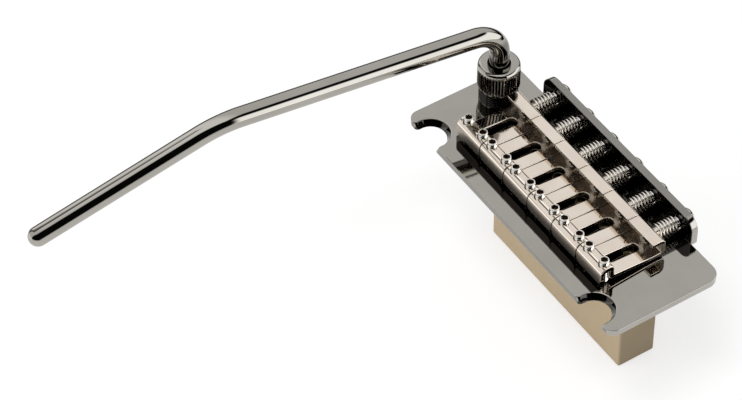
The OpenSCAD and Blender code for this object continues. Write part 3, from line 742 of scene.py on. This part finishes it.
# Screws and springs
def thread(pitch, depth, low, high, fade=0.4):
    """Depth of a thread: a rounded saw tooth of the height and the angle, fading out at both ends."""
    def wave(angle, height, radius):
        turn = height / pitch - angle / (2 * np.pi)
        tooth = np.abs(2 * (turn - np.floor(turn + 0.5)))
        ends = np.clip((height - low) / fade, 0, 1) * np.clip((high - height) / fade, 0, 1)
        return -depth * (1 - tooth) ** 1.3 * ends
    return wave


def cross_recess(x, y, length):
    """Depth of a cross-shaped recess: full where both the longer and the shorter distance from the
    middle lines are inside it, falling off evenly at its walls."""
    short, long = np.minimum(np.abs(x), np.abs(y)), np.maximum(np.abs(x), np.abs(y))
    wall = np.clip((CROSS_W / 2 - short) / 0.12, 0, 1) * np.clip((length / 2 - long) / 0.5, 0, 1)
    return CROSS_DEEP * wall


def screw_head(shell, radius, top, cross, place, dome, sides=72):
    """Top of a screw head on a polar grid: a cap of a sphere, or a flat one, with a cross recess."""
    share = np.concatenate([np.linspace(1, 0.75, 6), np.linspace(0.72, 0.02, 26)])
    r, a = np.meshgrid(share * radius, evenly_round(sides), indexing="ij")
    x, y = r * np.cos(a), r * np.sin(a)
    height = top - cross_recess(x, y, cross)
    if dome:
        curve = (radius ** 2 + dome ** 2) / (2 * dome)
        height = height - (curve - np.sqrt(curve ** 2 - r ** 2))
    rings = place(np.stack([x, y, height], -1).reshape(-1, 3)).reshape(len(share), sides, 3)
    shell.rings(rings)
    shell.fan(rings[-1], on_axis(place, top - CROSS_DEEP))
    return rings[0]


def make_intonation_screws():
    """Intonation screws: threaded shanks along the strings with domed heads behind the wall."""
    for k in range(1, STRINGS + 1):
        place = rearward(string_x(k), AXIS_Z)
        shell = Shell()
        heights = np.arange(SCREW_TIP_Y + 0.35, HEAD_Y, SCREW_PITCH / 6)
        profile = [(1.1, SCREW_TIP_Y)] + [(SCREW_R, h) for h in heights] + [(SCREW_R, HEAD_Y)]
        grooves = thread(SCREW_PITCH, SCREW_THREAD, SCREW_TIP_Y + 0.3, WALL_FRONT_Y - 0.4)
        tip = lathe(shell, profile, place, 28, wave=grooves)
        shell.fan(tip[0], on_axis(place, SCREW_TIP_Y), turned=True, smooth=False)
        foot, rim, edge = (place(raised(circle((0, 0), r, 72), h)) for r, h in (
            (SCREW_R, HEAD_Y), (HEAD_R - 0.05, HEAD_Y), (HEAD_R, HEAD_Y + 0.08)))
        shell.rings([foot, rim, edge])
        ring = screw_head(shell, HEAD_R, HEAD_Y + HEAD_H, CROSS_L, place, HEAD_H - 0.1)
        shell.rings([edge, ring])
        piece(f"string_screw_{k}", shell.mesh(f"string_screw_{k}"), f"screw_{k}", bright, "bright_nickel",
              f"intonation_screw_{k}")


def make_height_screws():
    """Height screws: threaded pins with a rounded rim and a hexagon socket. The value stored as recess
    is one inside the socket and nothing outside, and marks where the finish has painted shade."""
    angle = evenly_round(48)
    hexagon = KEY_R / np.cos(np.mod(angle + np.pi / 6, np.pi / 3) - np.pi / 6)
    around = np.stack([np.cos(angle), np.sin(angle)], 1)
    rim = arc((HEIGHT_R - HEIGHT_RIM_R, HEIGHT_TOP_Z - HEIGHT_RIM_R), HEIGHT_RIM_R, 0, 90, 5)
    heights = np.arange(HEIGHT_LOW_Z + 0.35, HEIGHT_TOP_Z - HEIGHT_RIM_R - 0.01, HEIGHT_PITCH / 9)
    profile = [(0.7, HEIGHT_LOW_Z)] + [(HEIGHT_R, h) for h in heights] + [tuple(p) for p in rim]
    grooves = thread(HEIGHT_PITCH, HEIGHT_THREAD, 2.4, HEIGHT_TOP_Z - 0.4, 0.25)
    socket = ((0.14, HEIGHT_TOP_Z - 0.02), (0.0, HEIGHT_TOP_Z - 0.3), (0.0, HEIGHT_TOP_Z - KEY_DEEP))
    for k in range(1, STRINGS + 1):
        shell = Shell()
        for side in (-1, 1):
            place = upright(string_x(k) + side * HEIGHT_X, HEIGHT_Y)
            rings = lathe(shell, profile, place, 48, wave=grooves)
            shell.fan(rings[0], on_axis(place, HEIGHT_LOW_Z), turned=True, smooth=False)
            hole = [place(raised((hexagon + grow)[:, None] * around, level)) for grow, level in socket]
            shell.rings([rings[-1], hole[0]])
            shell.rings(hole)
            shell.fan(hole[-1], on_axis(place, HEIGHT_TOP_Z - KEY_DEEP - 0.3))
        data = shell.mesh(f"height_pins_{k}", 40)
        points = np.empty(len(data.vertices) * 3)
        data.vertices.foreach_get("co", points)
        points = points.reshape(-1, 3) / MM
        away = np.hypot(np.abs(points[:, 0] - string_x(k)) - HEIGHT_X, points[:, 1] - HEIGHT_Y)
        inner = (away < 0.98) & (points[:, 2] > HEIGHT_TOP_Z - 2) & (points[:, 2] < HEIGHT_TOP_Z - 0.1)
        # The stored value marks the socket, where the finish paints shade
        data.attributes.new("recess", "FLOAT", "POINT").data.foreach_set("value", inner.astype(float))
        piece(f"height_pins_{k}", data, f"height_{k}", bright, "bright_nickel", f"height_screws_{k}")


def tube(shell, centres, radius, sides):
    """Tube round a line: at each point a ring in the plane across the line, turned as little as possible
    from one ring to the next, with domed ends."""
    tangents = np.gradient(centres, axis=0)
    tangents /= np.linalg.norm(tangents, axis=1, keepdims=True)
    side = np.array([1.0, 0.0, 0.0])
    a = evenly_round(sides)[:, None]
    rings = []
    for centre, tangent in zip(centres, tangents):
        side = side - tangent * (side @ tangent)
        side /= np.linalg.norm(side)
        rings.append(centre + radius * (np.cos(a) * side + np.sin(a) * np.cross(tangent, side)))
    shell.rings(rings)
    shell.fan(rings[0], centres[0] - tangents[0] * radius * 0.25, turned=True)
    shell.fan(rings[-1], centres[-1] + tangents[-1] * radius * 0.25)


def spring_line(x):
    """Centre line of a spring: it leaves the saddle straight, turns into its curls through a small bend,
    and comes out the same way. Radius is constant, the angle and the distance grow evenly in the curls."""
    bend = math.degrees(SPRING_BEND_R / SPRING_R)
    low = SPRING_LOW_Y + 2 * WIRE_R + SPRING_BEND_R
    high = SPRING_HIGH_Y - 2 * WIRE_R - SPRING_BEND_R
    curls, full = int(SPRING_TURNS * CURL_STEPS), SPRING_TURNS * 360
    b = np.radians(np.linspace(0, 80, 5))
    way, swing = SPRING_BEND_R * (1 - np.sin(b)), bend * (1 - np.cos(b))
    distance = [[SPRING_LOW_Y + WIRE_R * 0.25], low - way, np.linspace(low, high, curls),
                high + way[::-1], [SPRING_HIGH_Y - WIRE_R * 0.25]]
    angle = [[0], swing, bend + np.linspace(0, full, curls),
             2 * bend + full - swing[::-1], [2 * bend + full]]
    distance, angle = np.concatenate(distance), np.radians(np.concatenate(angle))
    return np.stack([x + SPRING_R * np.cos(angle), distance, AXIS_Z + SPRING_R * np.sin(angle)], 1)


def make_springs():
    """Springs between the saddles and the wall. They are squeezed between both as the saddle slides."""
    for k in range(1, STRINGS + 1):
        shell = Shell()
        tube(shell, spring_line(string_x(k)), WIRE_R, 12)
        spring = piece(f"spring_wire_{k}", shell.mesh(f"spring_wire_{k}", 60), None, wire, "bright_nickel",
                       f"intonation_spring_{k}")
        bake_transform(spring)


# Block and its screws
def make_block():
    """Painted block: rounded upright edges, stepped string bores and blind hook holes from below."""
    shell = Shell()
    outer = rounded_box(-BLOCK_HALF, BLOCK_HALF, BLOCK_FRONT_Y, BLOCK_BACK_Y, BLOCK_EDGE_R, BLOCK_EDGE_R, 6)
    levels = rim_levels(BLOCK_LOW_Z, 0.0, BLOCK_RIM, BLOCK_RIM)
    rows = [raised(outer - outward(outer) * inset, z) for inset, z in levels]
    shell.rings(rows)
    low_loops, high_loops = [rows[0][:, :2]], [rows[-1][:, :2]]
    bore = [(BORE_R + BORE_RIM, BLOCK_LOW_Z), (BORE_R, BLOCK_LOW_Z + BORE_RIM), (BORE_R, BORE_TOP_Z),
            (STRING_HOLE_R, BORE_TOP_Z + 0.6), (STRING_HOLE_R, 0.0)]
    for k in range(1, STRINGS + 1):
        stack = [raised(circle((bore_x(k), BORE_Y), r, 32), z) for r, z in bore]
        shell.rings(stack, turned=True)
        low_loops.append(stack[0][::-1, :2])
        high_loops.append(stack[-1][::-1, :2])
    hole = [(HOOK_HOLE_R + HOOK_HOLE_RIM, BLOCK_LOW_Z), (HOOK_HOLE_R, BLOCK_LOW_Z + HOOK_HOLE_RIM),
            (HOOK_HOLE_R, HOOK_HOLE_TOP_Z)]
    for side in range(-2, 3):
        middle = (side * BLOCK_PITCH, HOOK_HOLE_Y)
        stack = [raised(circle(middle, r, 24), z) for r, z in hole]
        shell.rings(stack, turned=True)
        shell.fan(stack[-1], [*middle, HOOK_HOLE_TOP_Z + 0.5], turned=True)
        low_loops.append(stack[0][::-1, :2])
    shell.cap(low_loops, lambda p: raised(p, BLOCK_LOW_Z), turned=True)
    shell.cap(high_loops, lambda p: raised(p, 0.0))
    piece("block", shell.mesh("block"), "bridge", paint, "block_paint", "sustain_block")


def make_block_screws():
    """Countersunk screws that hold the block, level with the plate's top face."""
    shell = Shell()
    heights = np.arange(BLOCK_SCREW_LOW_Z + 0.4, 0.4, BLOCK_SCREW_PITCH / 5)
    profile = [(1.6, BLOCK_SCREW_LOW_Z)] + [(BLOCK_SCREW_R, h) for h in heights]
    profile += [(BLOCK_SCREW_R, 0.5), (BLOCK_HEAD_R - 0.02, TOP_Z - 0.05), (BLOCK_HEAD_R, TOP_Z)]
    grooves = thread(BLOCK_SCREW_PITCH, BLOCK_SCREW_THREAD, BLOCK_SCREW_LOW_Z + 0.2, 0.2)
    for x in BLOCK_SCREW_X:
        place = upright(x, BLOCK_SCREW_Y)
        rings = lathe(shell, profile, place, 72, wave=grooves)
        shell.fan(rings[0], on_axis(place, BLOCK_SCREW_LOW_Z), turned=True, smooth=False)
        screw_head(shell, BLOCK_HEAD_R, TOP_Z, BLOCK_CROSS_L, place, 0)
    piece("block_screw_set", shell.mesh("block_screw_set"), "bridge", steel, "zinc", "block_screws")


# Arm and its socket
def arm_line():
    """Centre line of the arm in its upright plane: up the shaft, round the elbow, along the first length,
    round the second bend and along the handle. Each bend is an arc that touches both straights."""
    def heading(turn):
        """Direction after a turn from straight up towards the strings, as Y and Z."""
        return np.array([-math.sin(math.radians(turn)), math.cos(math.radians(turn))])

    def straight(start, end, steps):
        """Points that go evenly from one place to another."""
        return start + np.linspace(0, 1, steps)[:, None] * (end - start)

    elbow = 90 - ARM_RISE
    elbow_cut = ELBOW_R * math.tan(math.radians(elbow / 2))
    bend_cut = ARM_TURN_R * math.tan(math.radians(ARM_TURN / 2))
    ahead, down = heading(elbow), heading(elbow + ARM_TURN)
    corner = np.array([ARM_Y, ELBOW_Z])
    second = corner + ahead * ARM_L
    elbow_start, bend_start = corner - [0, elbow_cut], second - ahead * bend_cut
    a = np.radians(np.linspace(0, elbow, 40))[:, None]
    b = np.radians(np.linspace(0, ARM_TURN, 24))[:, None]
    inward = heading(elbow + 90)
    flat = np.concatenate([
        straight(np.array([ARM_Y, ARM_LOW_Z + ARM_CHAMFER]), elbow_start, 12)[:-1],
        elbow_start + ELBOW_R * np.hstack([np.cos(a) - 1, np.sin(a)]),
        straight(corner + ahead * elbow_cut, bend_start, 30)[1:-1],
        bend_start + ARM_TURN_R * (inward * (1 - np.cos(b)) + ahead * np.sin(b)),
        straight(second + down * bend_cut, second + down * HANDLE_L, 16)[1:],
    ])
    return np.column_stack([np.full(len(flat), ARM_X), flat])


def turned_out(points):
    """Turns points about the shaft's upright axis, away from the strings."""
    turn, axis = math.radians(ARM_OUT), np.array([ARM_X, ARM_Y, 0.0])
    c, s = math.cos(turn), math.sin(turn)
    return (np.asarray(points) - axis) @ np.array([[c, -s, 0], [s, c, 0], [0, 0, 1]]) + axis


def make_arm():
    """The arm: one round rod along its line, with a small chamfer below and a ball-shaped end."""
    shell = Shell()
    line = arm_line()
    tangents = np.gradient(line, axis=0)
    tangents /= np.linalg.norm(tangents, axis=1, keepdims=True)
    a = evenly_round(64)[:, None]
    across = np.array([1.0, 0, 0])

    def ring(centre, tangent, radius):
        """Circle across the line: the centre plus the radius times cosine and sine of two directions."""
        return centre + radius * (np.cos(a) * across + np.sin(a) * np.cross(tangent, across))

    foot, end, ahead = line[0] - [0, 0, ARM_CHAMFER], line[-1], tangents[-1]
    rings = [ring(foot, tangents[0], ARM_R - ARM_CHAMFER)]
    rings += [ring(centre, tangent, ARM_R) for centre, tangent in zip(line, tangents)]
    rings += [ring(end + ARM_R * math.sin(t) * ahead, ahead, ARM_R * math.cos(t))
              for t in np.radians(np.linspace(0, 90, 15))[1:-1]]
    shell.rings(turned_out(rings))
    shell.fan(turned_out(rings[0]), turned_out(foot), turned=True, smooth=False)
    shell.fan(turned_out(rings[-1]), turned_out(end + ARM_R * ahead))
    piece("arm_rod", shell.mesh("arm_rod", 40), "arm", dark, "dark_chrome", "tremolo_arm")


def make_collar():
    """Knurled collar: a turned ring with a rounded shoulder, whose outside carries upright teeth. The
    tooth is a triangle wave of the angle, full between two levels and fading at both ends."""
    shell = Shell()
    low, high = COLLAR_LOW_Z + 0.9, COLLAR_TOP_Z - SHOULDER_R

    def wave(angle, height, radius):
        turn = angle * KNURL_TEETH / (2 * np.pi)
        tooth = np.abs(2 * (turn - np.floor(turn + 0.5)))
        fade = np.clip((height - low + 0.02) / 0.3, 0, 1) * np.clip((high + 0.02 - height) / 0.3, 0, 1)
        return np.where(radius > COLLAR_R - 0.36, -KNURL_DEEP * (1 - tooth) ** 1.2 * fade, 0)

    outside = [(COLLAR_R - 0.5, COLLAR_LOW_Z), (COLLAR_R - 0.4, COLLAR_LOW_Z + 0.1),
               (COLLAR_R - 0.35, low - 0.1), (COLLAR_R - 0.1, low)]
    outside += [(COLLAR_R, z) for z in np.linspace(low + 0.12, high - 0.05, 12)]
    outside += [tuple(p) for p in arc((COLLAR_R - SHOULDER_R - 0.05, high), SHOULDER_R, 10, 90, 10)]
    roof_z = COLLAR_TOP_Z - COLLAR_ROOF
    inside = [(COLLAR_HOLE_R + 0.25, COLLAR_TOP_Z), (COLLAR_HOLE_R + 0.07, COLLAR_TOP_Z - 0.07),
              (COLLAR_HOLE_R, COLLAR_TOP_Z - 0.25), (COLLAR_HOLE_R, roof_z), (COLLAR_BORE_R, roof_z),
              (COLLAR_BORE_R, COLLAR_LOW_Z + 0.1), (COLLAR_BORE_R + 0.1, COLLAR_LOW_Z)]
    lathe(shell, outside + inside, upright(ARM_X, ARM_Y), 352, looped=True, wave=wave)
    piece("collar", shell.mesh("collar", 32), "collar", dark, "dark_chrome", "knurled_collar")


def make_bush():
    """Threaded bush with a ringed neck on the plate, the sleeve inside it and the nut and washer below.
    The nut's outline is a hexagon: its flat's distance divided by the cosine of the angle from it."""
    place = upright(ARM_X, ARM_Y)
    profile = [(BUSH_BORE_R, BUSH_TOP_Z), (BUSH_BORE_R, BUSH_LOW_Z), (BUSH_R - 0.3, BUSH_LOW_Z),
               (BUSH_R, BUSH_LOW_Z + 0.3), (BUSH_R, TOP_Z), (NECK_R - 0.08, TOP_Z), (NECK_R, TOP_Z + 0.08)]
    groove = ((0.0, 0.0), (0.22, 0.16), (0.3, 0.3), (0.22, 0.44), (0.0, 0.6))
    for i in range(NECK_RINGS):
        profile += [(NECK_R - deep, TOP_Z + 0.25 + i * RING_PITCH + rise) for deep, rise in groove]
    profile += [(NECK_R - 0.05, NECK_TOP_Z), (BUSH_R, NECK_TOP_Z), (BUSH_R, BUSH_TOP_Z)]
    shell = Shell()
    lathe(shell, profile, place, 96, looped=True)
    piece("bush", shell.mesh("bush", 30), "bridge", dark, "dark_chrome", "arm_bush")
    sleeve = Shell()
    sleeve_low_z = BUSH_LOW_Z + 0.5
    lathe(sleeve, [(SLEEVE_IN_R, BUSH_TOP_Z), (SLEEVE_IN_R, sleeve_low_z),
                   (SLEEVE_OUT_R, sleeve_low_z), (SLEEVE_OUT_R, BUSH_TOP_Z)], place, 48, looped=True)
    piece("sleeve", sleeve.mesh("sleeve"), "bridge", plastic, "sleeve_plastic", "arm_sleeve")
    hole = circle((0, 0), BUSH_R + LOOSE, 48)[::-1]
    washer = Shell()
    slab(washer, [circle((0, 0), NUT_R, 64), hole], WASHER_LOW_Z, 0.0, 0.12, 0.05, place)
    piece("washer", washer.mesh("washer"), "bridge", steel, "zinc", "bush_washer")
    nut = Shell()
    angle = np.radians(np.arange(0, 360, 5.0))
    away = NUT_R / np.cos(np.mod(angle, np.pi / 3) - np.pi / 6)
    turned = angle + math.radians(30)
    outline = away[:, None] * np.stack([np.cos(turned), np.sin(turned)], 1)
    slab(nut, [outline, hole], NUT_LOW_Z, WASHER_LOW_Z, 0.3, 0.15, place)
    piece("nut", nut.mesh("nut"), "bridge", steel, "zinc", "bush_nut")


make_plate()
make_saddles()
make_intonation_screws()
make_height_screws()
make_springs()
make_block()
make_block_screws()
make_arm()
make_collar()
make_bush()


# Floor, light and camera
def stage_board(name, centre, facing, width, height):
    """Flat board of a size, in metres, at a centre and facing a direction."""
    back = Vector(facing).normalized()
    right = Vector((0, 0, 1)).cross(back)
    right = right.normalized() if right.length > 1e-6 else Vector((1, 0, 0))
    up = back.cross(right)
    corners = [Vector(centre) + right * (sx * width / 2) + up * (sy * height / 2)
               for sx, sy in ((-1, -1), (1, -1), (1, 1), (-1, 1))]
    data = bpy.data.meshes.new(name)
    data.from_pydata([tuple(c) for c in corners], [], [(0, 1, 2, 3)])
    board = bpy.data.objects.new(name, data)
    bpy.context.scene.collection.objects.link(board)
    return board


def white_floor():
    """White sheet under the block. It is a little brighter to the camera, and to metal, than its own
    colour, so that the background is white and the soft shadow stays."""
    below = 0.0001
    floor = stage_board("floor", (0, -0.03, BLOCK_LOW_Z * MM - below), (0, 0, 1), 0.56, 0.62)
    f = Finish("floor_white")
    f.set(Base_Color=(0.45, 0.45, 0.45, 1), Roughness=0.9, Specular_IOR_Level=0.0)
    seen = (f.path("Is Camera Ray") + f.path("Is Glossy Ray") + f.path("Is Transmission Ray")).clamp()
    f.set(Emission_Color=(1, 1, 1, 1), Emission_Strength=seen * 0.66)
    floor.data.materials.append(f.material)


def lamp(name, place, target, size, power):
    """Soft box: an area lamp at a place, turned to a target. Neither the camera nor metal sees it."""
    data = bpy.data.lights.new(name, "AREA")
    data.shape, data.size, data.size_y, data.energy = "RECTANGLE", size[0], size[1], power
    thing = bpy.data.objects.new(name, data)
    bpy.context.scene.collection.objects.link(thing)
    thing.location = place
    thing.rotation_euler = (Vector(target) - Vector(place)).to_track_quat("-Z", "Y").to_euler()
    thing.visible_camera = thing.visible_glossy = False


def studio():
    """Even soft light with two soft boxes, overhead and in front. Metal mirrors a room of its own: a broad
    white screen from the left to overhead, brighter in a band just in front of the middle, with a dark
    seam at the front left; a bright window at the right rear; a light ground; and darkness at the right
    and round the camera. All edges are smooth steps of the direction's X, Y and Z."""
    world = bpy.data.worlds.new("studio")
    bpy.context.scene.world = world
    world.use_nodes = True
    room = Nodes(world.node_tree, "Background")
    x, y, z = room.axes(room.add("ShaderNodeTexCoord", {}, {}, "Generated"))
    # The screen's right edge moves to the left towards the front and towards the rear
    side = x + y.size() * 0.62
    seam = y.ramp(-0.52, -0.4) * y.fade(-0.28, -0.15) * x.fade(-0.4, -0.25)
    screen = side.fade(0.45, 0.57) * (z + (0 - y).clamp() * 0.5).ramp(0.03, 0.3) * (1 - seam * 0.88)
    glow = y.fade(0.0, 0.22) * 0.42 * y.ramp(-0.45, -0.3) + 0.88
    window = (y - x * 0.05).ramp(0.0, 0.08) * x.ramp(0.0, 0.12) * z.fade(0.57, 0.7) * z.ramp(-0.12, 0.0)
    ground = z.fade(-0.05, 0.02) * (x - y).ramp(-0.6, -0.1) * 0.85
    mirrored = screen * glow + window * 2.1 + ground + 0.004
    # Metal sees the room, the camera a white background, and everything else an even dim light
    glossy = room.path("Is Glossy Ray")
    plain = room.path("Is Camera Ray") * 0.48 + 0.52
    room.set(Color=(1, 1, 1, 1), Strength=glossy * mirrored + (1 - glossy) * plain)
    lamp("top_box", place=(0.1, -0.32, 1.0), target=(-0.02, -0.02, 0), size=(0.35, 0.35), power=3.2)
    lamp("front_box", place=(-0.25, -0.9, 0.15), target=(0, 0.02, -0.02), size=(0.6, 0.4), power=4.4)


def camera():
    """Camera at the photograph's place: turned about the upright axis from the front, raised, rolled a
    little, and with a long lens."""
    turn, rise, roll = (math.radians(angle) for angle in (CAMERA_TURN, CAMERA_RISE, CAMERA_ROLL))
    back = Vector((math.sin(turn) * math.cos(rise), -math.cos(turn) * math.cos(rise), math.sin(rise)))
    right = Vector((math.cos(turn), math.sin(turn), 0))
    up = back.cross(right)
    right, up = math.cos(roll) * right + math.sin(roll) * up, math.cos(roll) * up - math.sin(roll) * right
    data = bpy.data.cameras.new("camera")
    data.sensor_fit, data.sensor_width = "HORIZONTAL", SENSOR
    data.lens = FOCAL_PIXELS / PHOTO_PIXELS * SENSOR
    data.clip_start, data.clip_end = 0.05, 30
    thing = bpy.data.objects.new("camera", data)
    bpy.context.scene.collection.objects.link(thing)
    rows = [(right[i], up[i], back[i], CAMERA_PLACE[i]) for i in range(3)]
    thing.matrix_world = Matrix((*rows, (0, 0, 0, 1)))
    bpy.context.scene.camera = thing


white_floor()
studio()
camera()
bpy.context.scene.view_settings.view_transform = "Standard"
